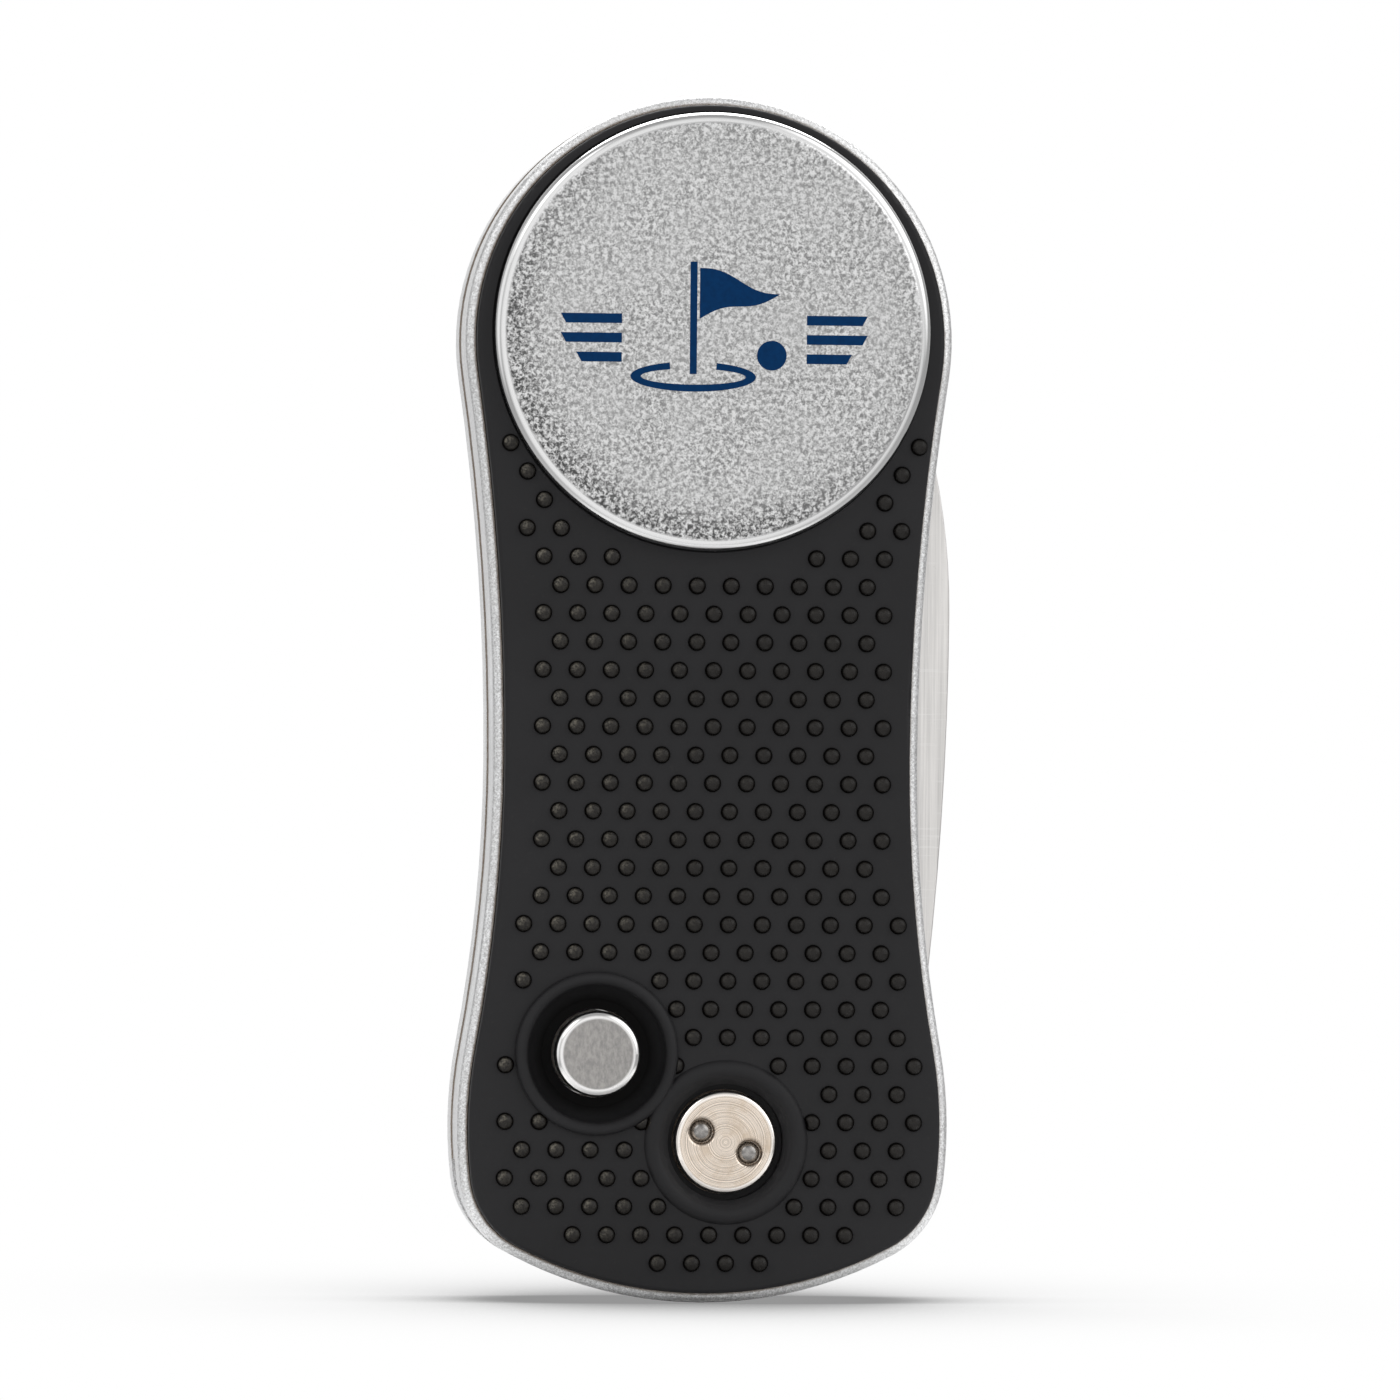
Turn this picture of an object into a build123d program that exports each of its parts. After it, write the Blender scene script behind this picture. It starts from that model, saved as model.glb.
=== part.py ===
from build123d import *
import math
import os

# Folding divot repair tool with a magnetic ball marker.
# Millimetres. Upright: +Z along the handle, the marker side faces -Y, the fork is folded away.

# ---- handle outline: one chain of tangent arcs, mirrored about x = 0 ----
body_length = 69.0
head_margin = 1.5
waist_pinch = 1.8
waist_z = 31.0
hip_swell = 1.9
hip_z = 10.0
hip_radius = 25.5
bottom_radius = 23.55
corner_radius = 5.5

# ---- layers, measured outwards from the mid-plane of the fork ----
fork_thick = 1.6
fork_side_clear = 0.2
plate_thick = 2.4
plate_edge_round = 0.45
recess_depth = 0.8
rim_width = 0.55
pad_thick = 1.8
pad_fit = 0.03
pad_edge_round = 0.25
spacer_width = 3.4
spacer_set_back = 0.1
spacer_foot_z = 8.0
spacer_end_rise = 7.0

# ---- grip nubs ----
nub_radius = 0.5
nub_height = 0.4
nub_pitch = 1.955
nub_row_pitch = 1.61
nub_middle_x = 0.25
nub_middle_z = 31.3
nub_top_drop = 5.9
nub_margin = 1.25
nub_top_row_margin = 0.9
nub_head_clear = 13.1

# ---- ball marker, its magnet and its seat ----
marker_radius = 12.5
marker_thick = 1.6
marker_edge_round = 0.5
marker_rise = 0.45
seat_depth = 0.4
seat_clear = 0.1
magnet_radius = 6.0
magnet_thick = 1.95
magnet_clear = 0.08

# ---- pivot ----
pivot_x = 1.2
pivot_z = 9.22
barrel_radius = 2.2
pivot_screw_radius = 1.5
pivot_head_radius = 2.95
pivot_head_height = 1.7
pivot_head_round = 0.3
spanner_hole_radius = 0.72
spanner_hole_depth = 0.6
spanner_spacing = 3.0
spanner_angle = -24.0
ring_hole_radius = 3.33
ring_crest_radius = 4.2
ring_foot_radius = 4.7
ring_height = 0.3
running_fit = 0.04
fixed_fit = 0.02
washer_inner = 4.4
washer_outer = 5.1
washer_recess = 0.3

# ---- lock button ----
button_distance = 9.0
button_angle = 146.0
button_radius = 2.45
button_proud = 1.0
button_edge_round = 0.42
collar_radius = 3.4
collar_thick = 1.2
collar_gap = 0.05
pocket_clear = 0.1
button_bore = 1.6
button_bore_depth = 4.0
bowl_hole_radius = 2.9
bowl_bottom_radius = 3.3
bowl_crest_radius = 4.3
bowl_foot_radius = 4.65
bowl_height = 0.5
bowl_depth = 0.7

# ---- fork ----
fork_reveal = 2.1
fork_back_gap = 0.5
fork_end_gap = 1.7
fork_side_radius = 200.0
fork_taper_drop = 20.8
fork_taper_radius = 40.0
fork_taper_angle = 14.0
tip_width = 1.3
root_z = 26.0
root_half = 4.6
tang_clear = 0.1
flank_clear = 0.4
shoulder_round = 1.5

# ---- stop pin ----
stop_distance = 10.4
stop_angle = 200.0
stop_radius = 1.1
stop_clear = 0.05
pin_seat_depth = 1.1

# ---- springs ----
torsion_wire = 0.35
torsion_turns = 2
torsion_pitch = 0.4
torsion_radius = 3.2
torsion_pocket_radius = 4.0
button_wire = 0.3
button_spring_radius = 1.2
button_spring_turns = 8

# ---- fasteners under the rear pad ----
screw_radius = 0.8
screw_head_radius = 1.35
screw_head_height = 0.8
screw_inset = 2.1
screw_depth = 1.1
screw_key = 0.5
dowel_radius = 0.6

# ---- rear pad ----
plateau_radius = 9.5
plateau_round = 0.15
plateau_nub_gap = 0.9

# ---- depths that follow from the layers ----
inner_face = fork_thick / 2 + fork_side_clear
plate_face = inner_face + plate_thick
recess_floor = plate_face - recess_depth
pad_face = recess_floor + pad_thick
seat_face = pad_face - seat_depth
marker_face = seat_face + fixed_fit + marker_thick
button_top = pad_face + button_proud
pivot_head_top = recess_floor + pivot_head_height
screw_floor = recess_floor - screw_head_height
fork_face = fork_thick / 2
washer_thick = washer_recess + fork_side_clear - fixed_fit

# ---- the head takes its size from the marker, and the waist and hips follow it ----
head_radius = marker_radius + head_margin
head_z = body_length - head_radius
marker_z = head_z + marker_rise
waist_half = head_radius - waist_pinch
hip_half = waist_half + hip_swell

# ---- centres of the outline's arcs ----
hip_x = hip_half - hip_radius
upper_rise = head_z - waist_z
upper_radius = (waist_half**2 + upper_rise**2 - head_radius**2) / (2 * (head_radius - waist_half))
upper_x = waist_half + upper_radius
lower_drop = waist_z - hip_z
lower_reach = waist_half - hip_x
lower_radius = (lower_reach**2 + lower_drop**2 - hip_radius**2) / (2 * (hip_radius - lower_reach))
lower_x = waist_half + lower_radius


def heading(from_x, from_z, to_x, to_z):
    """Direction from one point to another, in degrees."""
    return math.degrees(math.atan2(to_z - from_z, to_x - from_x))


def from_point(x, z, distance, angle):
    """Point at a distance and direction from (x, z)."""
    turn = math.radians(angle)
    return x + distance * math.cos(turn), z + distance * math.sin(turn)


def corner_centre():
    """Centre of the corner arc, tangent inside both the hip arc and the bottom arc."""
    to_hip = hip_radius - corner_radius
    to_bottom = bottom_radius - corner_radius
    span = math.hypot(hip_x, bottom_radius - hip_z)
    along = (to_hip**2 - to_bottom**2 + span**2) / (2 * span)
    aside = math.degrees(math.acos(along / to_hip))
    base = heading(hip_x, hip_z, 0, bottom_radius)
    return from_point(hip_x, hip_z, to_hip, base - aside)


corner_x, corner_z = corner_centre()
button_x, button_z = from_point(pivot_x, pivot_z, button_distance, button_angle)
stop_x, stop_z = from_point(pivot_x, pivot_z, stop_distance, stop_angle)


def outline(inset):
    """Face of the handle's outline, drawn a distance inside its outer edge."""
    bottom_end = heading(0, bottom_radius, corner_x, corner_z)
    corner_end = heading(hip_x, hip_z, corner_x, corner_z)
    hip_end = heading(hip_x, hip_z, lower_x, waist_z)
    head_start = heading(0, head_z, upper_x, waist_z)
    half = [
        CenterArc((0, bottom_radius), bottom_radius - inset, -90, bottom_end + 90),
        CenterArc((corner_x, corner_z), corner_radius - inset, bottom_end, corner_end - bottom_end),
        CenterArc((hip_x, hip_z), hip_radius - inset, corner_end, hip_end - corner_end),
        CenterArc((lower_x, waist_z), lower_radius + inset, 180 + hip_end, -hip_end),
        CenterArc((upper_x, waist_z), upper_radius + inset, 180, head_start),
        CenterArc((0, head_z), head_radius - inset, head_start, 90 - head_start),
    ]
    return make_face(half + [mirror(arc, about=Plane.YZ) for arc in half])


def layer(profile, near, far):
    """Solid of a front-view profile between two depths along Y."""
    low, high = min(near, far), max(near, far)
    return extrude(Plane(origin=(0, high, 0), x_dir=(1, 0, 0), z_dir=(0, -1, 0)) * profile, high - low)


def disc(x, z, radius, near, far):
    """Round bar along Y between two depths."""
    return layer(Pos(x, z) * Circle(radius), near, far)


def turned(x, z, points_face, side):
    """Solid turned about the Y axis through (x, z); side is -1 for the front, 1 for the rear."""
    blank = revolve(Plane.XY * points_face, Axis.Y)
    if side < 0:
        blank = mirror(blank, about=Plane.XZ)
    return Pos(x, 0, z) * blank


def half_plane_below(x, z, angle):
    """Large face lying below a line through (x, z)."""
    return Pos(x, z) * Rot(0, 0, angle) * Rectangle(200, 200, align=(Align.CENTER, Align.MAX))


def rounded_edges(solid, depth, radius):
    """Rounds the outer edges of a plate on its face at one depth."""
    face = solid.faces().filter_by(Axis.Y).sort_by(lambda f: abs(f.center().Y - depth))[0]
    return fillet(face.outer_wire().edges(), radius)


# ---- places along the back spacer for its screws and dowel pins ----
screw_places = [
    from_point(0, head_z, head_radius - screw_inset, 62),
    from_point(0, head_z, head_radius - screw_inset, 148),
    (screw_inset - waist_half, waist_z),
    (screw_inset - hip_half, hip_z),
]
dowel_places = [
    from_point(0, head_z, head_radius - screw_inset, 105),
    from_point(-lower_x, waist_z, lower_radius + screw_inset, -heading(hip_x, hip_z, lower_x, waist_z) * 0.6),
]


def plate(side):
    """Frame plate with its pad recess, common to the front and the rear."""
    blank = rounded_edges(layer(outline(0), side * inner_face, side * plate_face), side * plate_face,
                          plate_edge_round)
    blank -= layer(outline(rim_width), side * recess_floor, side * (plate_face + 1))
    blank -= disc(pivot_x, pivot_z, washer_outer + fixed_fit, side * (inner_face - 1),
                  side * (inner_face + washer_recess))
    blank -= disc(stop_x, stop_z, stop_radius + fixed_fit, side * (inner_face - 1),
                  side * (inner_face + pin_seat_depth))
    for x, z in dowel_places:
        blank -= disc(x, z, dowel_radius + fixed_fit, side * (inner_face - 1),
                      side * (inner_face + pin_seat_depth))
    return blank


# ---- front frame ----
barrel_nose = inner_face + 0.95
front_frame = plate(-1)
front_frame -= disc(button_x, button_z, button_radius + running_fit, 0, -plate_face)
front_frame -= disc(pivot_x, pivot_z, barrel_radius + fixed_fit, 0, -barrel_nose - collar_gap)
front_frame -= disc(pivot_x, pivot_z, pivot_screw_radius + fixed_fit, 0, -plate_face)
front_frame -= disc(0, marker_z, magnet_radius + magnet_clear, -seat_face + magnet_thick, -plate_face)
for screw_x, screw_z in screw_places:
    front_frame -= disc(screw_x, screw_z, screw_radius + fixed_fit, 0, -inner_face - screw_depth - collar_gap)

# ---- rear frame ----
pocket_floor = inner_face + collar_thick + pocket_clear
spring_floor = inner_face + torsion_turns * torsion_pitch + torsion_wire + pocket_clear
rear_frame = plate(1)
rear_frame -= disc(button_x, button_z, collar_radius + pocket_clear, 0, pocket_floor)
rear_frame -= disc(pivot_x, pivot_z, torsion_pocket_radius, 0, spring_floor)
rear_frame -= disc(pivot_x, pivot_z, barrel_radius + fixed_fit, 0, plate_face)
for screw_x, screw_z in screw_places:
    rear_frame -= disc(screw_x, screw_z, screw_radius + fixed_fit, 0, plate_face)
    rear_frame -= disc(screw_x, screw_z, screw_head_radius + fixed_fit, screw_floor, plate_face)

# ---- back spacer: up the left side and over the head, open to the right for the fork ----
spacer_profile = outline(spacer_set_back) - outline(spacer_width)
spacer_profile -= Pos(0, spacer_foot_z) * Rectangle(100, 100, align=(Align.CENTER, Align.MAX))
spacer_profile -= Pos(0, head_z + spacer_end_rise) * Rectangle(100, 200, align=(Align.MIN, Align.MAX))
back_spacer = layer(spacer_profile, -inner_face, inner_face)
# Room for the lock collar, which the spacer reaches on a narrower body.
back_spacer -= disc(button_x, button_z, collar_radius + pocket_clear, -inner_face, inner_face)
for screw_x, screw_z in screw_places:
    back_spacer -= disc(screw_x, screw_z, screw_radius + fixed_fit, -plate_face, plate_face)
for dowel_x, dowel_z in dowel_places:
    back_spacer -= disc(dowel_x, dowel_z, dowel_radius + fixed_fit, -plate_face, plate_face)


# ---- grip pads ----
def nub_points(keep):
    """Centres of the nubs: staggered rows, kept where they clear the pad's edge and its features."""
    pad_zone = outline(rim_width + nub_margin).face()
    top_zone = outline(rim_width + nub_top_row_margin).face()
    points = []
    top_row = int((head_z - nub_top_drop - nub_middle_z) / nub_row_pitch)
    for row in range(-int(nub_middle_z / nub_row_pitch), top_row + 1):
        z = nub_middle_z + row * nub_row_pitch
        stagger = 0.5 if row % 2 == 0 else 0.0
        zone = top_zone if row == top_row else pad_zone
        for step in range(-8, 9):
            x = (step + stagger) * nub_pitch
            if zone.is_inside((x, z, 0)) and keep(x + nub_middle_x, z):
                points.append((x + nub_middle_x, z))
    return points


def pad(side, nubs):
    """Flat pad with rounded edge and domed nubs."""
    blank = layer(outline(rim_width + pad_fit), side * recess_floor, side * pad_face)
    blank = rounded_edges(blank, side * pad_face, pad_edge_round)
    dome = (nub_radius**2 + nub_height**2) / (2 * nub_height)
    depth = side * (pad_face + nub_height - dome)
    return blank + [Pos(x, depth, z) * Sphere(dome) for x, z in nubs]


def ring_profile(hole, inner_height, crest, foot, height):
    """Half section of a raised ring: hole edge, slope, rounded crest and outer foot."""
    shoulder = 2 * crest - foot
    outer = Polyline((shoulder, pad_face), (hole, inner_height), (hole, recess_floor),
                     (foot, recess_floor), (foot, pad_face))
    over = ThreePointArc((foot, pad_face), (crest, pad_face + height), (shoulder, pad_face))
    return make_face([outer, over])


def front_keep(x, z):
    """True where a front nub clears the marker's seat, the pivot ring and the button's bowl."""
    to_button = math.hypot(x - button_x, z - button_z)
    bowl_clear = bowl_foot_radius + (0.2 if x < button_x else -0.15)
    return (math.hypot(x - nub_middle_x, z - head_z) > nub_head_clear
            and math.hypot(x - pivot_x, z - pivot_z) > ring_foot_radius + 0.2
            and to_button > bowl_clear)


def rear_keep(x, z):
    """True where a rear nub clears the plateau and the pivot ring."""
    return (math.hypot(x, z - head_z) > plateau_radius + plateau_nub_gap
            and math.hypot(x - pivot_x, z - pivot_z) > ring_foot_radius + 0.2)


pivot_ring = ring_profile(ring_hole_radius, pad_face - 0.2, ring_crest_radius, ring_foot_radius, ring_height)
bowl_section = Polyline((2 * bowl_crest_radius - bowl_foot_radius, pad_face),
                        (bowl_bottom_radius, pad_face - bowl_depth),
                        (bowl_hole_radius, pad_face - bowl_depth - 0.1),
                        (bowl_hole_radius, recess_floor),
                        (bowl_foot_radius, recess_floor),
                        (bowl_foot_radius, pad_face))
bowl_crest = ThreePointArc((bowl_foot_radius, pad_face), (bowl_crest_radius, pad_face + bowl_height),
                           (2 * bowl_crest_radius - bowl_foot_radius, pad_face))
button_bowl = make_face([bowl_section, bowl_crest])

front_grip_pad = pad(-1, nub_points(front_keep))
front_grip_pad -= disc(button_x, button_z, bowl_foot_radius, 0, -pad_face - 2)
front_grip_pad -= disc(pivot_x, pivot_z, ring_foot_radius, 0, -pad_face - 2)
front_grip_pad += turned(button_x, button_z, button_bowl, -1)
front_grip_pad += turned(pivot_x, pivot_z, pivot_ring, -1)
front_grip_pad -= disc(0, marker_z, marker_radius + seat_clear, -seat_face, -pad_face - 2)
front_grip_pad -= disc(0, marker_z, magnet_radius + magnet_clear, 0, -pad_face - 2)

rear_grip_pad = pad(1, nub_points(rear_keep))
rear_grip_pad -= disc(pivot_x, pivot_z, ring_foot_radius, 0, pad_face + 2)
rear_grip_pad += turned(pivot_x, pivot_z, pivot_ring, 1)
plateau = disc(0, head_z, plateau_radius, recess_floor, pad_face + nub_height)
rear_grip_pad += rounded_edges(plateau, pad_face + nub_height, plateau_round)

# ---- ball marker and magnet ----
ball_marker = disc(0, marker_z, marker_radius, -marker_face, -marker_face + marker_thick)
ball_marker = rounded_edges(ball_marker, -marker_face, marker_edge_round)
marker_magnet = disc(0, marker_z, magnet_radius, -seat_face + magnet_thick, -seat_face + collar_gap)

# ---- pivot screw and barrel ----
def spanner_holes(head_face, side):
    """Two blind round holes for a pin spanner."""
    holes = []
    for direction in (spanner_angle, spanner_angle + 180):
        x, z = from_point(pivot_x, pivot_z, spanner_spacing / 2, direction)
        holes.append(disc(x, z, spanner_hole_radius, side * (head_face - spanner_hole_depth),
                          side * (head_face + 1)))
    return holes


barrel_bore_end = inner_face + 0.5
pivot_screw = rounded_edges(disc(pivot_x, pivot_z, pivot_head_radius, -pivot_head_top, -recess_floor),
                            -pivot_head_top, pivot_head_round)
pivot_screw += disc(pivot_x, pivot_z, pivot_screw_radius, -recess_floor - 0.1, barrel_bore_end - 0.1)
pivot_screw -= spanner_holes(pivot_head_top, -1)

pivot_barrel = rounded_edges(disc(pivot_x, pivot_z, pivot_head_radius, recess_floor, pivot_head_top),
                             pivot_head_top, pivot_head_round)
pivot_barrel += disc(pivot_x, pivot_z, barrel_radius, -barrel_nose, recess_floor + 0.1)
pivot_barrel -= disc(pivot_x, pivot_z, pivot_screw_radius + fixed_fit, -plate_face, barrel_bore_end)
pivot_barrel -= spanner_holes(pivot_head_top, 1)


def thrust_washer(side):
    """Flat ring in the plate's counterbore, just off the fork."""
    seat = side * (inner_face + washer_recess)
    ring = disc(pivot_x, pivot_z, washer_outer, seat - side * washer_thick, seat)
    return ring - disc(pivot_x, pivot_z, washer_inner, -plate_face, plate_face)


thrust_washer_front = thrust_washer(-1)
thrust_washer_rear = thrust_washer(1)

# ---- lock button: shaft, lock collar and spring bore ----
collar_front = inner_face - collar_gap
lock_button = rounded_edges(disc(button_x, button_z, button_radius, -button_top, -collar_front),
                            -button_top, button_edge_round)
lock_button += disc(button_x, button_z, collar_radius, -collar_front, collar_thick - collar_front)
bore_end = collar_thick - collar_front - button_bore_depth
lock_button -= disc(button_x, button_z, button_bore, bore_end, plate_face)


# ---- springs ----
def coil(x, z, near, far, turns, radius, wire):
    """Round-wire coil about the Y axis between the depths of its end wires."""
    path = Pos(x, near, z) * Rot(-90, 0, 0) * Helix((far - near) / turns, far - near, radius)
    section = Plane(origin=path @ 0, z_dir=path % 0) * Circle(wire / 2)
    return sweep(section, path=path, is_frenet=True), path @ 0, path @ 1


button_spring, _, _ = coil(button_x, button_z, bore_end + button_wire / 2, pocket_floor - button_wire / 2,
                           button_spring_turns, button_spring_radius, button_wire)

torsion_near = spring_floor - torsion_turns * torsion_pitch - torsion_wire / 2
torsion_coil, leg_start, leg_end = coil(pivot_x, pivot_z, torsion_near, spring_floor - torsion_wire / 2,
                                        torsion_turns, torsion_radius, torsion_wire)
fork_leg = Pos(leg_start.X, 0, leg_start.Z) * Rot(-90, 0, 0) * Cylinder(
    torsion_wire / 2, leg_start.Y, align=(Align.CENTER, Align.CENTER, Align.MIN))
frame_leg_length = torsion_pocket_radius - torsion_radius - pocket_clear
frame_leg = Pos(leg_end.X, leg_end.Y, leg_end.Z) * Rot(0, 90, 0) * Cylinder(
    torsion_wire / 2, frame_leg_length, align=(Align.CENTER, Align.CENTER, Align.MIN))
torsion_spring = torsion_coil + fork_leg + frame_leg
torsion_spring += Pos(leg_start.X, leg_start.Y, leg_start.Z) * Sphere(torsion_wire / 2)

# ---- fork: its left side clears the spacer, its right side shows past the waist ----
side_x = waist_half + fork_reveal
fork_half = (side_x + waist_half - spacer_width - fork_back_gap) / 2
fork_middle_x = side_x - fork_half
fork_tip_z = head_z + spacer_end_rise - fork_end_gap
fork_widest_z = fork_tip_z - fork_taper_drop
tang_radius = button_distance - collar_radius - tang_clear
taper_x, taper_z = from_point(side_x - fork_taper_radius, fork_widest_z, fork_taper_radius, fork_taper_angle)
tip_base_z = fork_tip_z - tip_width / 2
tip_x = taper_x - (tip_base_z - taper_z) * math.tan(math.radians(fork_taper_angle))
side_drop = math.degrees(math.asin((fork_widest_z - pivot_z) / fork_side_radius))
side_foot_x, side_foot_z = from_point(side_x - fork_side_radius, fork_widest_z, fork_side_radius, -side_drop)
half_fork = [
    Line((fork_middle_x, side_foot_z), (side_foot_x, side_foot_z)),
    CenterArc((side_x - fork_side_radius, fork_widest_z), fork_side_radius, -side_drop, side_drop),
    CenterArc((side_x - fork_taper_radius, fork_widest_z), fork_taper_radius, 0, fork_taper_angle),
    Line((taper_x, taper_z), (tip_x, tip_base_z)),
    ThreePointArc((tip_x, tip_base_z), (tip_x - tip_width / 2, fork_tip_z), (tip_x - tip_width, tip_base_z)),
    Line((tip_x - tip_width, tip_base_z), (fork_middle_x + root_half, root_z + root_half)),
    CenterArc((fork_middle_x, root_z + root_half), root_half, -90, 90),
]
fork_axis = Plane(origin=(fork_middle_x, 0, 0), z_dir=(1, 0, 0))
fork_profile = make_face(half_fork + [mirror(edge, about=fork_axis) for edge in half_fork])
stop_offset = stop_radius + stop_clear
flank_angle = stop_angle - 180
right_x, right_z = from_point(pivot_x, pivot_z, stop_offset, flank_angle + 90)
left_x, left_z = from_point(pivot_x, pivot_z, collar_radius + flank_clear, button_angle - 90)
fork_profile -= half_plane_below(right_x, right_z, flank_angle)
fork_profile -= half_plane_below(left_x, left_z, button_angle - 180)
fork_profile += Pos(pivot_x, pivot_z) * Circle(tang_radius)
fork_profile -= Pos(pivot_x, pivot_z) * Circle(barrel_radius + running_fit)
fork_profile -= Pos(leg_start.X, leg_start.Z) * Circle(torsion_wire)
fork = layer(fork_profile, -fork_face, fork_face)
right_shoulder = from_point(right_x, right_z, side_x - pivot_x, flank_angle)
left_shoulder = from_point(left_x, left_z, 1.2 * fork_half, button_angle)
for shoulder in (right_shoulder, left_shoulder):
    corner = fork.edges().filter_by(Axis.Y).sort_by_distance((shoulder[0], 0, shoulder[1]))[0]
    fork = fillet(corner, shoulder_round)

# ---- stop pin, screws and dowel pins ----
stop_pin = disc(stop_x, stop_z, stop_radius, -inner_face - pin_seat_depth + collar_gap,
                inner_face + pin_seat_depth - collar_gap)
screws = []
for screw_x, screw_z in screw_places:
    screw = disc(screw_x, screw_z, screw_head_radius, screw_floor, recess_floor - collar_gap)
    screw += disc(screw_x, screw_z, screw_radius, -inner_face - screw_depth, screw_floor + 0.1)
    screw -= layer(Pos(screw_x, screw_z) * RegularPolygon(screw_key, 6), screw_floor + 0.3, recess_floor)
    screws.append(screw)
dowels = []
for dowel_x, dowel_z in dowel_places:
    dowels.append(disc(dowel_x, dowel_z, dowel_radius, -inner_face - pin_seat_depth + collar_gap,
                       inner_face + pin_seat_depth - collar_gap))

# ---- everything is moved so that the tool's box is centred on X and Y and stands on z = 0 ----
widest = max(hip_half, head_radius)
shift_x = (widest - max(widest, side_x)) / 2
front_reach = max(marker_face, button_top)
shift_y = (front_reach - pad_face - nub_height) / 2
home = Pos(shift_x, shift_y, 0)

nodes = {
    "front_frame": front_frame,
    "rear_frame": rear_frame,
    "back_spacer": back_spacer,
    "front_grip_pad": front_grip_pad,
    "rear_grip_pad": rear_grip_pad,
    "ball_marker": ball_marker,
    "marker_magnet": marker_magnet,
    "fork": fork,
    "pivot_screw": pivot_screw,
    "pivot_barrel": pivot_barrel,
    "thrust_washer_front": thrust_washer_front,
    "thrust_washer_rear": thrust_washer_rear,
    "torsion_spring": torsion_spring,
    "lock_button": lock_button,
    "button_spring": button_spring,
    "stop_pin": stop_pin,
    "assembly_screws": Part() + screws,
    "dowel_pins": Part() + dowels,
}
os.makedirs("parts", exist_ok=True)
for name, solid in nodes.items():
    export_step(home * solid, f"parts/{name}.step")
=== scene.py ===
import math

import bmesh
import bpy
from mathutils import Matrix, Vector


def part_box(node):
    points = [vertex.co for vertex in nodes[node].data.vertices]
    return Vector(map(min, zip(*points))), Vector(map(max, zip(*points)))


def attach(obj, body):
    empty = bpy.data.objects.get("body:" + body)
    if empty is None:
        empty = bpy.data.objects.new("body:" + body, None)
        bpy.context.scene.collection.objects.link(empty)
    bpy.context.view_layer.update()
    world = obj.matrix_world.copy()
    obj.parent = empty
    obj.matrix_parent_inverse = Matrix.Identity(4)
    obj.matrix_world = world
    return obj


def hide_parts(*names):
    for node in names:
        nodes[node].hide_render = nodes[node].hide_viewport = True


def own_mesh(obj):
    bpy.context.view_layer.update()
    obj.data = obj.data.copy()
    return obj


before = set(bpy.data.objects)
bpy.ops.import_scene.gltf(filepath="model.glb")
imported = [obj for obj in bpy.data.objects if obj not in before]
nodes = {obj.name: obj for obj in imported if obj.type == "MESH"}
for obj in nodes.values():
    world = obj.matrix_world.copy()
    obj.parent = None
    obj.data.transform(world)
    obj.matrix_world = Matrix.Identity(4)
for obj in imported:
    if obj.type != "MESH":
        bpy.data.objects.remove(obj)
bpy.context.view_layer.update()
MM = 0.001

# ---------------------------------------------------------------- places, from the frame
handle_low, handle_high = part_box("front_frame")
rear_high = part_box("rear_frame")[1]
marker_low, marker_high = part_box("ball_marker")
button_low, button_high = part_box("lock_button")
pivot_low, pivot_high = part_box("pivot_screw")

axis_x = (handle_low.x + handle_high.x) / 2
mid_y = (handle_low.y + rear_high.y) / 2
marker_centre = (marker_low + marker_high) / 2
marker_radius = (marker_high.x - marker_low.x) / 2
pivot_centre = (pivot_low + pivot_high) / 2
button_centre = (button_low + button_high) / 2

# ---------------------------------------------------------------- sizes of the photo's details
pad_proud = 1.0 * MM  # how far the pads' flat faces stand off the plates
front_face = handle_low.y - pad_proud
rear_face = rear_high.y + pad_proud
bowl_foot = 4.65 * MM
# radii where the painted shade in the bowl round the button is full, and where it has faded out
bowl_shade_full, bowl_shade_gone = 3.1 * MM, 4.35 * MM
button_flat, button_round = 1.95 * MM, 2.08 * MM
pivot_face = 2.6 * MM
nub_reach = 0.5 * MM
nub_rise = 0.4 * MM
nub_pitch = 1.955 * MM
nub_row = 1.61 * MM
nub_profile = [(0.99, 0.1), (0.965, 0.26), (0.915, 0.43), (0.83, 0.6), (0.7, 0.755), (0.54, 0.875),
               (0.36, 0.95), (0.17, 0.99)]
print_thick = 0.02 * MM
marker_edge = 0.5 * MM
marker_chamfer = 0.15 * MM


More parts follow.
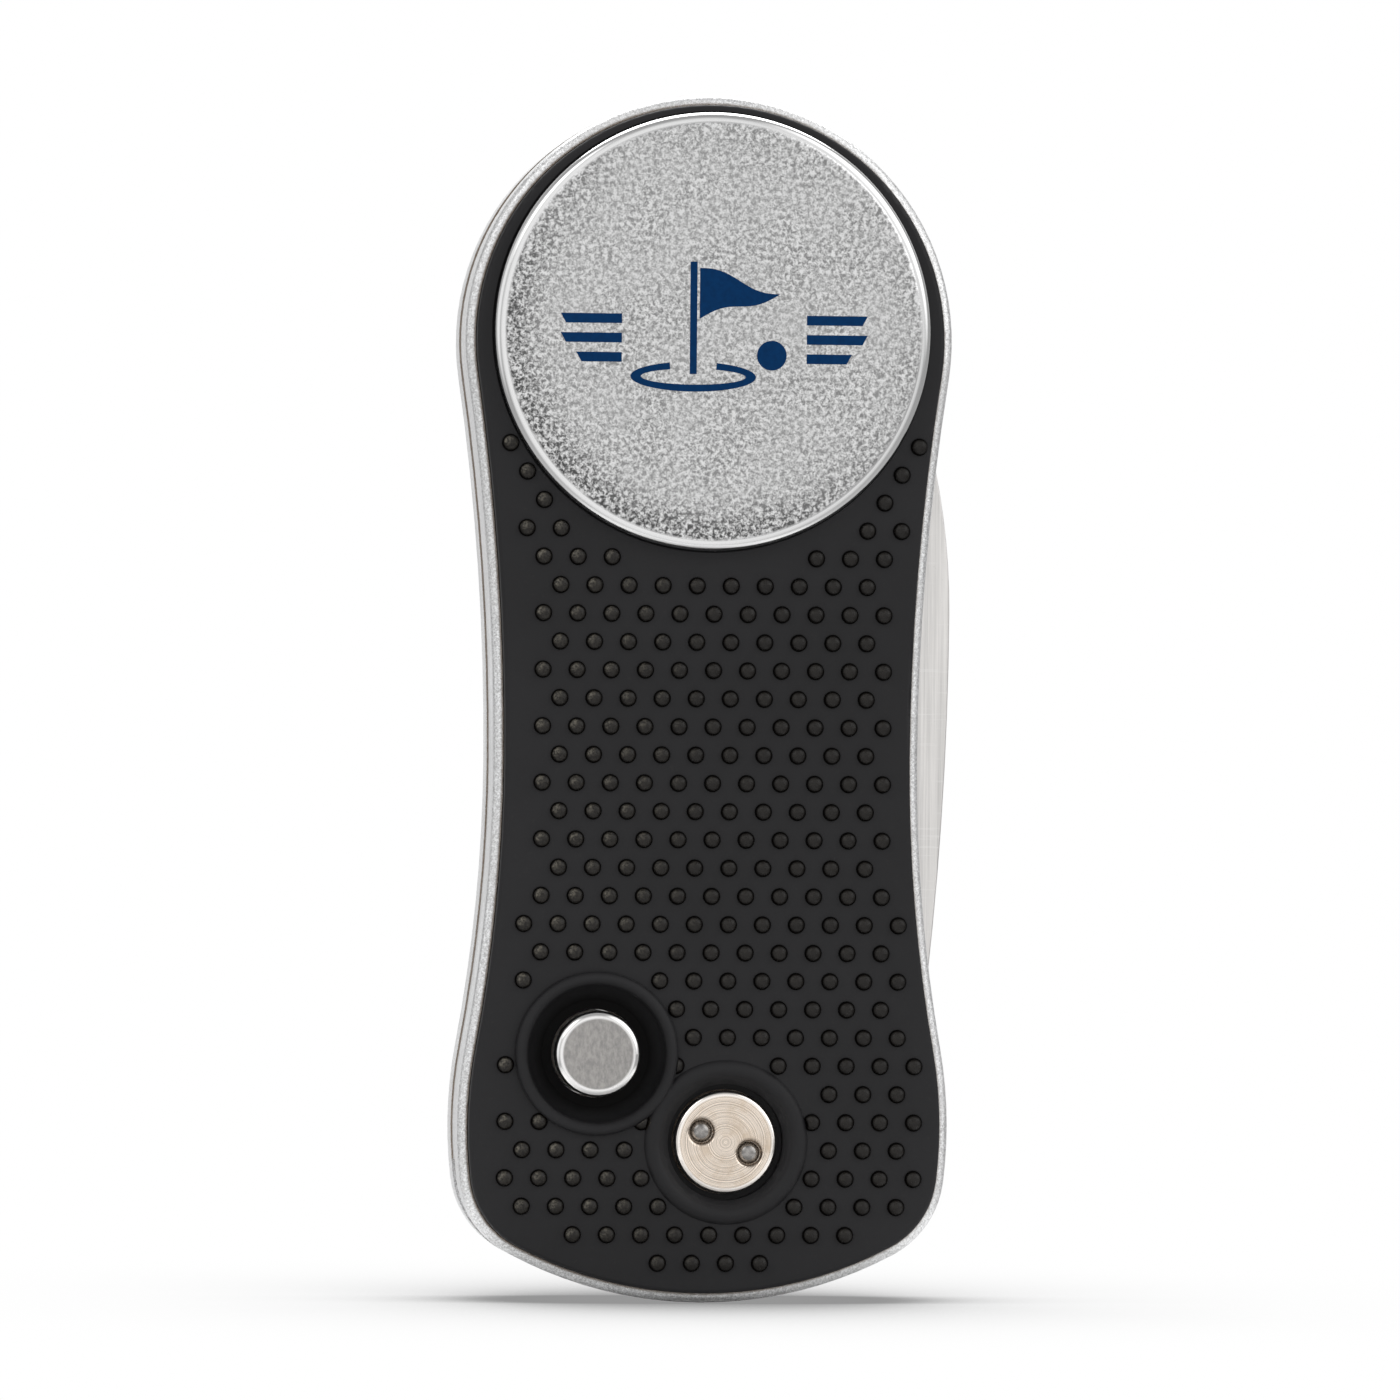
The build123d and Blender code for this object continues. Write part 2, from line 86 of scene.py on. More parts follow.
# ---------------------------------------------------------------- node helpers
class Shader:
    """A node tree with short calls for the nodes used here."""

    def __init__(self, tree):
        self.tree = tree
        tree.nodes.clear()

    def node(self, kind, inputs=None, **settings):
        made = self.tree.nodes.new(kind)
        for name, value in settings.items():
            setattr(made, name, value)
        for name, value in (inputs or {}).items():
            if isinstance(value, bpy.types.NodeSocket):
                self.tree.links.new(value, made.inputs[name])
            else:
                made.inputs[name].default_value = value
        return made

    def noise(self, vector, scale, detail=2.0, roughness=0.5, distortion=0.0):
        return self.node("ShaderNodeTexNoise", {"Vector": vector, "Scale": scale, "Detail": detail,
                                                "Roughness": roughness, "Distortion": distortion}).outputs["Fac"]

    def scaled(self, vector, x, y, z):
        return self.node("ShaderNodeMapping", {"Vector": vector, "Scale": (x, y, z)}).outputs["Vector"]

    def span(self, value, low, high, to_low, to_high, smooth=False):
        kind = "SMOOTHSTEP" if smooth else "LINEAR"
        return self.node("ShaderNodeMapRange", {"Value": value, "From Min": low, "From Max": high,
                                                "To Min": to_low, "To Max": to_high},
                         interpolation_type=kind).outputs["Result"]

    def blend(self, factor, first, second):
        made = self.node("ShaderNodeMix", data_type="RGBA")
        sockets = (made.inputs[0], made.inputs[6], made.inputs[7])
        for socket, value in zip(sockets, (factor, first, second)):
            if isinstance(value, bpy.types.NodeSocket):
                self.tree.links.new(value, socket)
            else:
                socket.default_value = value
        return made.outputs[2]

    def maths(self, operation, *values):
        made = self.node("ShaderNodeMath", operation=operation)
        for socket, value in zip(made.inputs, values):
            if isinstance(value, bpy.types.NodeSocket):
                self.tree.links.new(value, socket)
            else:
                socket.default_value = value
        return made.outputs[0]

    def weighed(self, first, second, share):
        """Two values added, with the first one's share of the whole."""
        return self.maths("ADD", self.maths("MULTIPLY", first, share),
                          self.maths("MULTIPLY", second, 1 - share))

    def dot(self, first, second):
        return self.node("ShaderNodeVectorMath", {0: first, 1: tuple(second)},
                         operation="DOT_PRODUCT").outputs["Value"]

    def length(self, vector):
        return self.node("ShaderNodeVectorMath", {0: vector}, operation="LENGTH").outputs["Value"]

    def part(self, vector, axis):
        return self.node("ShaderNodeSeparateXYZ", {"Vector": vector}).outputs[axis]

    def shader_mix(self, factor, first, second):
        return self.node("ShaderNodeMixShader", {"Fac": factor, 1: first, 2: second}).outputs[0]

    def camera_ray(self):
        return self.node("ShaderNodeLightPath").outputs["Is Camera Ray"]

    def bump(self, height, strength, distance, normal=None):
        inputs = {"Height": height, "Strength": strength, "Distance": distance}
        if normal is not None:
            inputs["Normal"] = normal
        return self.node("ShaderNodeBump", inputs).outputs["Normal"]

    def place(self, centre):
        """Object coordinates measured from a point."""
        coords = self.node("ShaderNodeTexCoord").outputs["Object"]
        return self.node("ShaderNodeVectorMath", {0: coords, 1: tuple(centre)},
                         operation="SUBTRACT").outputs[0]

    def facing(self):
        """How squarely a surface faces the front or the back: 1 on the faces, 0 on the walls."""
        normal = self.node("ShaderNodeTexCoord").outputs["Normal"]
        return self.maths("ABSOLUTE", self.part(normal, "Y"))

    def radius(self, vector):
        """Distance from the Y axis through the point that the vector starts from."""
        flat = self.node("ShaderNodeVectorMath", {0: vector, 1: (1, 0, 1)},
                         operation="MULTIPLY").outputs[0]
        return self.length(flat)


def material(name):
    """New material with a Principled shader: (material, shader calls, principled node)."""
    made = bpy.data.materials.new(name)
    made.use_nodes = True
    shader = Shader(made.node_tree)
    principled = shader.node("ShaderNodeBsdfPrincipled")
    output = shader.node("ShaderNodeOutputMaterial")
    made.node_tree.links.new(principled.outputs[0], output.inputs[0])
    return made, shader, principled


def connect(shader, principled, **links):
    """Links or sets the principled node's inputs; underscores stand for spaces."""
    for name, value in links.items():
        socket = principled.inputs[name.replace("_", " ")]
        if isinstance(value, bpy.types.NodeSocket):
            shader.tree.links.new(value, socket)
        else:
            socket.default_value = value


def grey(value, warm=0.0):
    """Linear grey, a little warm or cool."""
    return (value * (1 + warm), value, value * (1 - warm), 1)


# ---------------------------------------------------------------- materials
def blasted_aluminium():
    """Bead-blasted clear-anodised aluminium: silver grain, saw lines along the walls, tan painted shade where
    the rim meets the pads.
    """
    made, s, p = material("blasted_aluminium")
    at = s.place((0, 0, 0))
    grain = s.noise(at, 6500, 3, 0.65)
    sparkle = s.noise(at, 12000, 1)
    layers = s.noise(s.scaled(at, 0.15, 1, 0.03), 2600, 3, 0.6)
    cloud = s.noise(at, 260, 2)
    tone = s.weighed(grain, sparkle, 0.62)
    colour = s.blend(s.span(tone, 0.4, 0.62, 0, 1), grey(0.56), grey(1.0, -0.005))
    sides = s.span(s.facing(), 0.25, 0.6, 1, 0, True)
    lined = s.maths("MULTIPLY", sides, s.span(layers, 0.42, 0.6, 0.7, 0))
    colour = s.blend(lined, colour, grey(0.58, -0.01))
    colour = s.blend(s.span(cloud, 0.35, 0.75, 0, 0.3), colour, grey(0.78, 0.01))
    # Painted shade: a tan tone on the rim's front and back faces, where ambient occlusion finds the pad close
    # by.
    seam = s.node("ShaderNodeAmbientOcclusion", {"Distance": 0.3 * MM}, samples=6).outputs["AO"]
    painted_seam_shade = s.maths("MULTIPLY", s.span(seam, 0.62, 0.9, 0.9, 0, True),
                    s.span(s.facing(), 0.75, 0.95, 0, 1, True))
    colour = s.blend(painted_seam_shade, colour, (0.16, 0.105, 0.06, 1))
    normal = s.bump(grain, 0.6, 0.00004, s.bump(layers, 0.3, 0.00003))
    connect(s, p, Base_Color=colour, Metallic=1.0, Roughness=s.span(cloud, 0.3, 0.7, 0.38, 0.5),
            Normal=normal)
    return made


def grip_rubber():
    """Moulded matt rubber with a fine bloom; the bowl round the button gets painted shade, near black, and less
    sheen.
    """
    made, s, p = material("grip_rubber")
    at = s.place((0, mid_y, 0))
    fine = s.noise(at, 7000, 3, 0.6)
    cloud = s.noise(at, 120, 3)
    dust = s.noise(at, 2600, 4, 0.7)
    colour = s.blend(s.span(cloud, 0.3, 0.7, 0, 1), (0.0135, 0.0132, 0.0142, 1),
                     (0.0185, 0.0182, 0.0196, 1))
    colour = s.blend(s.span(dust, 0.62, 0.8, 0, 0.22), colour, (0.045, 0.042, 0.038, 1))
    # Painted shade: the bowl round the button, on the front pad only, is painted near black, fading out towards
    # its crest.
    front = s.span(s.part(at, "Y"), -1 * MM, 1 * MM, 1, 0)
    bowl_shade = s.maths("MULTIPLY", front,
                   s.span(s.radius(s.place(button_centre)), bowl_shade_full, bowl_shade_gone, 1, 0))
    colour = s.blend(bowl_shade, colour, (0.004, 0.0038, 0.0038, 1))
    sheen = s.span(bowl_shade, 0, 1, 0.22, 0.05)
    connect(s, p, Base_Color=colour, Roughness=s.span(cloud, 0.3, 0.7, 0.52, 0.62),
            Specular_IOR_Level=sheen, Normal=s.bump(fine, 0.25, 0.00002))
    return made


def nub_rubber():
    """The nubs: browner than the flat rubber, with a speckled painted highlight on the upper left sides of the
    left-hand nubs, and painted shade, near black, on their steep sides down to the foot.
    """
    made, s, p = material("nub_rubber")
    at = s.place((0, mid_y, 0))
    fine = s.noise(at, 6500, 3, 0.7)
    cloud = s.noise(at, 340, 2)
    top = s.span(s.facing(), 0.5, 0.92, 0, 1, True)
    # Painted highlight: pale speckles on the sides that face up and to the left, strongest on the nubs furthest
    # left.
    left_nub_highlight = s.span(s.part(at, "X"), -10.5 * MM, 2 * MM, 1, 0.08, True)
    colour = s.blend(s.span(cloud, 0.35, 0.65, 0, 1), (0.0055, 0.0042, 0.0034, 1),
                     (0.0085, 0.0068, 0.0054, 1))
    speckled_highlight = s.maths("MULTIPLY", s.span(fine, 0.42, 0.66, 0.1, 1), left_nub_highlight)
    upper_left_facing = s.dot(s.node("ShaderNodeTexCoord").outputs["Normal"], (-0.5, -0.74, 0.45))
    speckled_highlight = s.maths("MULTIPLY", speckled_highlight, s.span(upper_left_facing, 0.68, 0.97, 0.12, 1, True))
    colour = s.blend(speckled_highlight, colour, (0.17, 0.155, 0.125, 1))
    # Painted shade: the nubs' steep sides, down to the foot, are painted near black.
    colour = s.blend(top, (0.0016, 0.0012, 0.0011, 1), colour)
    sheen = s.span(top, 0, 1, 0.05, 0.27)
    connect(s, p, Base_Color=colour, Roughness=s.span(fine, 0.3, 0.7, 0.24, 0.42),
            Specular_IOR_Level=sheen, Normal=s.bump(fine, 0.8, 0.00005))
    return made


def marker_plate():
    """Sandblasted face with a band of darker, coarser grain near its edge, made strongest at the lower left as
    painted shade, inside a polished rounded rim.
    """
    made, s, p = material("marker_plate")
    at = s.place(marker_centre)
    out = s.radius(at)
    face = s.span(out, 0.945 * marker_radius, 0.96 * marker_radius, 1, 0, True)
    grain = s.noise(at, 3900, 3, 0.62, 0.4)
    fine = s.noise(at, 9000, 2, 0.5)
    cloud = s.noise(at, 330, 3)
    tone = s.weighed(grain, fine, 0.7)
    # Painted shade: the edge band of darker grain is weighted towards the lower left.
    shade = s.dot(at, (-0.055 / MM, 0, -0.06 / MM))
    edge = s.span(out, 0.74 * marker_radius, 0.93 * marker_radius, 0, 1, True)
    edge = s.maths("MULTIPLY", edge, s.span(shade, -0.35, 0.7, 0.15, 1, True))
    sanded = s.blend(s.span(tone, 0.415, 0.585, 0, 1), grey(0.25), grey(0.78))
    edge_grain_shade = s.blend(s.span(tone, 0.44, 0.6, 0, 1), grey(0.06), grey(0.78))
    sanded = s.blend(s.span(cloud, 0.35, 0.7, 0, 0.35), sanded, grey(0.6))
    sanded = s.blend(s.maths("MULTIPLY", edge, 0.9), sanded, edge_grain_shade)
    colour = s.blend(face, grey(0.8), sanded)
    rough = s.maths("ADD", s.maths("MULTIPLY", face, 0.24), s.span(cloud, 0.3, 0.7, 0.12, 0.18))
    relief = s.maths("MULTIPLY", tone, face)
    connect(s, p, Base_Color=colour, Metallic=1.0, Roughness=rough,
            Normal=s.bump(relief, 0.8, 0.00006))
    return made


def brushed_fork():
    """Stainless steel brushed along the tines, with cross scratches and a few pits."""
    made, s, p = material("brushed_fork")
    at = s.place((0, 0, 0))
    lines = s.noise(s.scaled(at, 1, 1, 0.012), 9000, 4, 0.7)
    wide = s.noise(s.scaled(at, 1, 1, 0.05), 1600, 3)
    cross = s.noise(s.scaled(at, 0.05, 1, 1), 7000, 2)
    specks = s.noise(at, 2500, 3, 0.6)
    tone = s.weighed(lines, wide, 0.6)
    colour = s.blend(s.span(tone, 0.35, 0.65, 0, 1), grey(0.53, 0.022), grey(0.8, 0.024))
    colour = s.blend(s.span(cross, 0.62, 0.75, 0, 0.3), colour, grey(0.9, 0.01))
    colour = s.blend(s.span(specks, 0.7, 0.8, 0, 0.5), colour, grey(0.3, 0.03))
    connect(s, p, Base_Color=colour, Metallic=1.0, Roughness=s.span(tone, 0.3, 0.7, 0.26, 0.42),
            Normal=s.bump(lines, 0.35, 0.00002))
    return made


def turned_steel(name, centre, low, high, warm, polished_from):
    """Lathe-faced steel: fine rings round the axis, with stains and handling marks."""
    made, s, p = material(name)
    at = s.place(centre)
    out = s.radius(at)
    wobble = s.noise(at, 500, 2)
    ring_at = s.maths("ADD", s.maths("MULTIPLY", out, 15000), s.maths("MULTIPLY", wobble, 1.4))
    rings = s.node("ShaderNodeTexNoise", {"W": ring_at, "Scale": 1.0, "Detail": 3.0},
                   noise_dimensions="1D").outputs["Fac"]
    stain = s.noise(at, 900, 3, 0.6)
    edge = s.span(out, polished_from, polished_from + 0.06 * MM, 0, 1, True)
    colour = s.blend(s.span(rings, 0.35, 0.65, 0, 1), grey(low, warm), grey(high, warm))
    colour = s.blend(s.span(stain, 0.48, 0.72, 0, 0.5), colour, grey(low * 0.9, warm * 2.2))
    colour = s.blend(edge, colour, grey(0.9, warm * 0.4))
    flat = s.maths("SUBTRACT", 1.0, edge)
    rough = s.maths("ADD", s.maths("MULTIPLY", flat, s.span(stain, 0.3, 0.7, 0.08, 0.2)), 0.1)
    connect(s, p, Base_Color=colour, Metallic=1.0, Roughness=rough,
            Normal=s.bump(s.maths("MULTIPLY", rings, flat), 0.55, 0.00003))
    return made


def button_steel():
    """Ground flat end with a polished rounded edge."""
    made, s, p = material("button_steel")
    at = s.place(button_centre)
    out = s.radius(at)
    flat = s.span(out, button_flat, button_round, 1, 0, True)
    grind = s.noise(s.scaled(at, 1, 1, 0.5), 5200, 4, 0.7)
    fine = s.noise(at, 8000, 2)
    ground = s.blend(s.span(grind, 0.35, 0.65, 0, 1), grey(0.28, 0.025), grey(0.4, 0.04))
    colour = s.blend(flat, grey(0.85, 0.01), ground)
    rough = s.maths("ADD", s.maths("MULTIPLY", flat, 0.32), 0.1)
    relief = s.maths("MULTIPLY", s.maths("ADD", grind, fine), flat)
    connect(s, p, Base_Color=colour, Metallic=1.0, Roughness=rough,
            Normal=s.bump(relief, 0.3, 0.00002))
    return made


def plain_metal(name, low, high, rough, warm=0.0):
    """Plated or drawn small parts."""
    made, s, p = material(name)
    at = s.place((0, 0, 0))
    fine = s.noise(at, 5000, 3, 0.6)
    colour = s.blend(s.span(fine, 0.35, 0.65, 0, 1), grey(low, warm), grey(high, warm))
    connect(s, p, Base_Color=colour, Metallic=1.0, Roughness=s.span(fine, 0.3, 0.7, rough, rough + 0.12),
            Normal=s.bump(fine, 0.2, 0.00001))
    return made


def printed_ink():
    """Dark blue pad-printed ink that takes on a little of the grain under it."""
    made, s, p = material("printed_ink")
    at = s.place((0, 0, 0))
    fine = s.noise(at, 3300, 3, 0.6)
    colour = s.blend(s.span(fine, 0.3, 0.7, 0, 1), (0.0012, 0.026, 0.092, 1),
                     (0.0018, 0.034, 0.118, 1))
    connect(s, p, Base_Color=colour, Roughness=s.span(fine, 0.3, 0.7, 0.5, 0.62),
            Specular_IOR_Level=0.05, Normal=s.bump(fine, 0.3, 0.00002))
    return made


def washer_plastic():
    """Natural nylon washers."""
    made, s, p = material("washer_plastic")
    at = s.place((0, 0, 0))
    fine = s.noise(at, 3000, 3)
    colour = s.blend(s.span(fine, 0.3, 0.7, 0, 1), (0.55, 0.52, 0.44, 1), (0.66, 0.63, 0.54, 1))
    connect(s, p, Base_Color=colour, Roughness=s.span(fine, 0.3, 0.7, 0.4, 0.5),
            Normal=s.bump(fine, 0.1, 0.00001))
    return made


aluminium = blasted_aluminium()
rubber = grip_rubber()
nub = nub_rubber()
marker_metal = marker_plate()
fork_steel = brushed_fork()
pivot_steel = turned_steel("pivot_steel", pivot_centre, 0.46, 0.8, 0.14, pivot_face)
button_metal = button_steel()
hardware = plain_metal("hardware_steel", 0.35, 0.55, 0.28)
hole_steel = plain_metal("spanner_hole_steel", 0.24, 0.36, 0.18, 0.04)
wire = plain_metal("spring_wire", 0.25, 0.4, 0.25)
nickel = plain_metal("magnet_nickel", 0.5, 0.65, 0.15, 0.02)
washer = washer_plastic()
ink = printed_ink()

# The nodes that show as they are packed; the others are replaced by pieces below.
node_materials = {
    "front_frame": aluminium, "rear_frame": aluminium, "back_spacer": aluminium,
    "marker_magnet": nickel, "lock_button": button_metal, "torsion_spring": wire,
    "thrust_washer_front": washer, "thrust_washer_rear": washer, "stop_pin": hardware,
    "assembly_screws": hardware, "dowel_pins": hardware,
}
for name, chosen in node_materials.items():
    nodes[name].data.materials.clear()
    nodes[name].data.materials.append(chosen)


# ---------------------------------------------------------------- pieces finished in mesh code
def piece(name, form, paints, body, replaced=()):
    """Turns a bmesh into an object with crisp and smooth edges, which rides on a body."""
    smooth_angle = 32
    flat_enough = 0.99995
    bmesh.ops.recalc_face_normals(form, faces=form.faces)
    mesh = bpy.data.meshes.new(name)
    form.to_mesh(mesh)
    form.free()
    for paint in paints:
        mesh.materials.append(paint)
    mesh.shade_smooth()
    mesh.set_sharp_from_angle(angle=math.radians(smooth_angle))
    for face in mesh.polygons:
        if abs(face.normal.y) > flat_enough:
            face.use_smooth = False
    made = bpy.data.objects.new(name, mesh)
    bpy.context.scene.collection.objects.link(made)
    weighted = made.modifiers.new("weighted_normals", "WEIGHTED_NORMAL")
    weighted.keep_sharp = True
    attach(made, body)
    if replaced:
        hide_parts(*replaced)
    return made


def cad_form(node):
    """The CAD node's mesh, joined up along the edges of its faces."""
    same_point = 0.4e-6
    form = bmesh.new()
    form.from_mesh(nodes[node].data)
    bmesh.ops.remove_doubles(form, verts=form.verts, dist=same_point)
    return form


def rounded(form, edges, width, segments):
    """Rounds some edges over."""
    bmesh.ops.bevel(form, geom=edges, offset=width, offset_type="OFFSET", segments=segments, profile=0.5,
                    affect="EDGES", clamp_overlap=True)


def flat_gap(first, second):
    """Distance between two points as seen from the front."""
    return math.hypot(first.x - second.x, first.z - second.z)


def broken_edges(node, width, holes=(), hole_reach=0.0, hole_width=0.0):
    """The CAD shape with its sharp edges rounded over, and the rims of some holes cut back further."""
    nearly_flat, sharp_from = math.radians(0.6), math.radians(38)
    form = cad_form(node)
    bmesh.ops.dissolve_limit(form, angle_limit=nearly_flat, verts=form.verts, edges=form.edges)
    top = min(v.co.y for v in form.verts)
    rims = [edge for edge in form.edges
            if all(abs(v.co.y - top) < 0.01 * MM and any(flat_gap(v.co, hole) < hole_reach for hole in holes)
                   for v in edge.verts)]
    if rims:
        rounded(form, rims, hole_width, 4)
    sharp = [edge for edge in form.edges
             if len(edge.link_faces) == 2 and edge.calc_face_angle(0) > sharp_from]
    rounded(form, sharp, width, 3)
    return form


def rows(form, rings, closed_tip=None, index=0):
    """Skins a stack of rings of vertices, and fans the last one in to a tip."""
    for lower, upper in zip(rings, rings[1:]):
        for k in range(len(lower)):
            nxt = (k + 1) % len(lower)
            form.faces.new((lower[k], lower[nxt], upper[nxt], upper[k])).material_index = index
    if closed_tip is not None:
        last = rings[-1]
        for k in range(len(last)):
            form.faces.new((last[k], last[(k + 1) % len(last)], closed_tip)).material_index = index


def circle(form, centre, radius, y, turns):
    """A ring of new vertices round the Y axis through centre."""
    return [form.verts.new((centre.x + radius * math.cos(math.tau * k / turns), y,
                            centre.z + radius * math.sin(math.tau * k / turns))) for k in range(turns)]


def turned_form(form, centre, profile, turns):
    """Turned shape round the Y axis through centre, from (radius, y) pairs; both ends close on the axis."""
    rings = [circle(form, centre, radius, y, turns) for radius, y in profile[1:-1]]
    first = form.verts.new((centre.x, profile[0][1], centre.z))
    last = form.verts.new((centre.x, profile[-1][1], centre.z))
    rows(form, rings, last)
    for k in range(turns):
        form.faces.new((rings[0][k], rings[0][(k + 1) % turns], first))


def proud_islands(form, face, side):
    """Groups of joined vertices that stand off a pad's flat face."""
    standing = [v for v in form.verts if side * (v.co.y - face) > 0.012 * MM]
    proud = set(standing)
    for start in standing:
        if start not in proud:
            continue
        proud.remove(start)
        island = [start]
        for v in island:
            for edge in v.link_edges:
                other = edge.other_vert(v)
                if other in proud:
                    proud.remove(other)
                    island.append(other)
        yield island


def finished_pad(node, face, side):
    """A grip pad with every whole nub made again as a round-topped peg, and the cut ones painted."""
    form = cad_form(node)
    whole_size = (1.8 * nub_reach, 2.1 * nub_reach)
    foot_reach = 0.1 * MM
    found = []
    for island in proud_islands(form, face, side):
        xs = [v.co.x for v in island]
        zs = [v.co.z for v in island]
        if not all(whole_size[0] < max(c) - min(c) < whole_size[1] for c in (xs, zs)):
            continue
        inside = set(island)
        round_about = (v for item in island for f in item.link_faces for v in f.verts)
        foot = [v for v in dict.fromkeys(round_about) if v not in inside]
        if all(abs(v.co.y - face) < foot_reach for v in foot):
            found.append((island, foot))
    middles = [sum((v.co for v in foot), Vector()) / len(foot) for island, foot in found]
    tell_apart = 0.9 * nub_reach
    crowns = [v.co for v in form.verts
              if 0.955 * nub_rise < side * (v.co.y - face) < 1.01 * nub_rise]
    row_reach = nub_row / math.sin(math.tau / 6)
    cut_nubs = []
    for start in middles:
        for k in range(6):
            turn = math.tau * k / 6
            guess = start + Vector((nub_pitch * math.cos(turn), 0, row_reach * math.sin(turn)))
            if flat_gap(guess, button_centre) < bowl_foot - foot_reach:
                continue
            if all((guess - other).length > tell_apart for other in middles + cut_nubs) \
                    and any(flat_gap(c, guess) < 0.3 * nub_reach for c in crowns):
                cut_nubs.append(guess)
    for f in form.faces:
        middle = f.calc_center_median()
        if side * (middle.y - face) > 0.01 * MM and flat_gap(middle, button_centre) > bowl_foot \
                and any(flat_gap(middle, c) < nub_reach for c in cut_nubs):
            f.material_index = 1
    for number, (island, foot) in enumerate(found):
        middle = middles[number].copy()
        middle.y = face
        ring = sorted(foot, key=lambda v: math.atan2(v.co.z - middle.z, v.co.x - middle.x))
        bmesh.ops.delete(form, geom=island, context="VERTS")
        rings = [ring]
        for reach, rise in nub_profile:
            level = face + side * rise * nub_rise
            rings.append([form.verts.new((middle.x + (v.co.x - middle.x) * reach, level,
                                          middle.z + (v.co.z - middle.z) * reach)) for v in ring])
        tip = form.verts.new(middle + Vector((0, side * nub_rise, 0)))
        rows(form, rings, tip, 1)
    return form


def lip(form, centre, inner, outer, y):
    """Thin rubber lip round a hole, from the hole's wall in to the metal part."""
    depth, rise = 0.15 * MM, 0.02 * MM
    rings = [circle(form, centre, radius, level, 72)
             for radius, level in ((inner, y), (outer, y - rise), (outer, y + depth), (inner, y + depth))]
    rows(form, rings + rings[:1])


front_form = finished_pad("front_grip_pad", front_face, -1)
rear_form = finished_pad("rear_grip_pad", rear_face, 1)
lip(front_form, button_centre, 2.53 * MM, 3.05 * MM, front_face + 0.75 * MM)
lip(front_form, pivot_centre, 3.0 * MM, 3.4 * MM, front_face + 1.2 * MM)
piece("front_grip_rubber", front_form, [rubber, nub], "handle", ["front_grip_pad"])
piece("rear_grip_rubber", rear_form, [rubber, nub], "handle", ["rear_grip_pad"])

# The marker: face, gentle fall to the edge, polished round, side and back.
marker_face = marker_low.y + print_thick
marker_form = bmesh.new()
fall = [(0, 0), (0.5, 0), (0.8, 0), (0.87, 0.006), (0.905, 0.018), (0.935, 0.04), (0.955, 0.07)]
profile = [(r * marker_radius, marker_face + y * MM) for r, y in fall]
round_centre_y = marker_face + 0.085 * MM + marker_edge
round_from, round_steps = 12, 8
for step in range(round_steps + 1):
    turn = math.radians(round_from + (90 - round_from) * step / round_steps)
    profile.append((marker_radius - marker_edge + marker_edge * math.sin(turn),
                    round_centre_y - marker_edge * math.cos(turn)))
profile += [(marker_radius, marker_high.y - marker_chamfer), (marker_radius - marker_chamfer, marker_high.y),
            (0, marker_high.y)]
turned_form(marker_form, marker_centre, profile, 192)
piece("marker_disc", marker_form, [marker_metal], "ball_marker", ["ball_marker"])


def print_shape(form, points):
    """Flat patch of ink on the marker's face: points in millimetres from its centre."""
    base = [form.verts.new((marker_centre.x + x * MM, marker_face, marker_centre.z + z * MM))
            for x, z in points]
    front = form.faces.new(base)
    raised = bmesh.ops.extrude_face_region(form, geom=[front])["geom"]
    bmesh.ops.translate(form, verts=[v for v in raised if isinstance(v, bmesh.types.BMVert)],
                        vec=(0, -print_thick, 0))


def ellipse_arc(x, z, wide, high, start, end, count):
    """Points along part of an ellipse."""
    turns = [math.radians(start + (end - start) * k / count) for k in range(count + 1)]
    return [(x + wide * math.cos(t), z + high * math.sin(t)) for t in turns]


# A plain golf picture: flag on its pin, the rim of the hole, a ball, and a bar on each side.
motif = bmesh.new()
pin_x = -1.1
flag_top, flag_drop, flag_fly = 3.6, 2.9, 4.6
steps = 16
ripple = [0.22 * math.sin(math.tau * k / steps) for k in range(steps + 1)]
upper = [(pin_x + 0.25 + flag_fly * k / steps, flag_top - 0.5 * flag_drop * k / steps + ripple[k])
         for k in range(steps + 1)]
lower = [(pin_x + 0.25 + flag_fly * k / steps,
          flag_top - flag_drop + 0.5 * flag_drop * k / steps + ripple[k]) for k in range(steps)]
print_shape(motif, upper + lower[::-1])
print_shape(motif, [(pin_x - 0.3, flag_top + 0.35), (pin_x + 0.1, flag_top + 0.35), (pin_x + 0.1, -2.45),
                    (pin_x - 0.3, -2.45)])
hole_x, hole_z, rim_steps = pin_x - 0.1, -2.6, 48
print_shape(motif, ellipse_arc(hole_x, hole_z, 3.6, 0.85, 112, 428, rim_steps)
            + ellipse_arc(hole_x, hole_z, 3.0, 0.45, 424, 116, rim_steps))
print_shape(motif, ellipse_arc(3.3, -1.35, 0.85, 0.85, 0, 348.75, 31))
bar_start, bar_thick, bar_slant = 5.3, 0.55, 0.3
for side in (-1, 1):
    for rise, reach in ((0.95, 3.5), (-0.15, 3.5), (-1.25, 2.6)):
        near, far = side * bar_start, side * (bar_start + reach)
        print_shape(motif, [(near, rise), (far, rise), (far - side * bar_slant, rise - bar_thick),
                            (near, rise - bar_thick)])
piece("marker_print", motif, [ink], "ball_marker")

# The button's spring, on the handle, with a mesh of its own.
spring_coil = piece("button_coil", cad_form("button_spring"), [wire], "handle",
                    ["button_spring"])
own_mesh(spring_coil)

piece("fork_blade", broken_edges("fork", 0.13 * MM), [fork_steel], "fork", ["fork"])

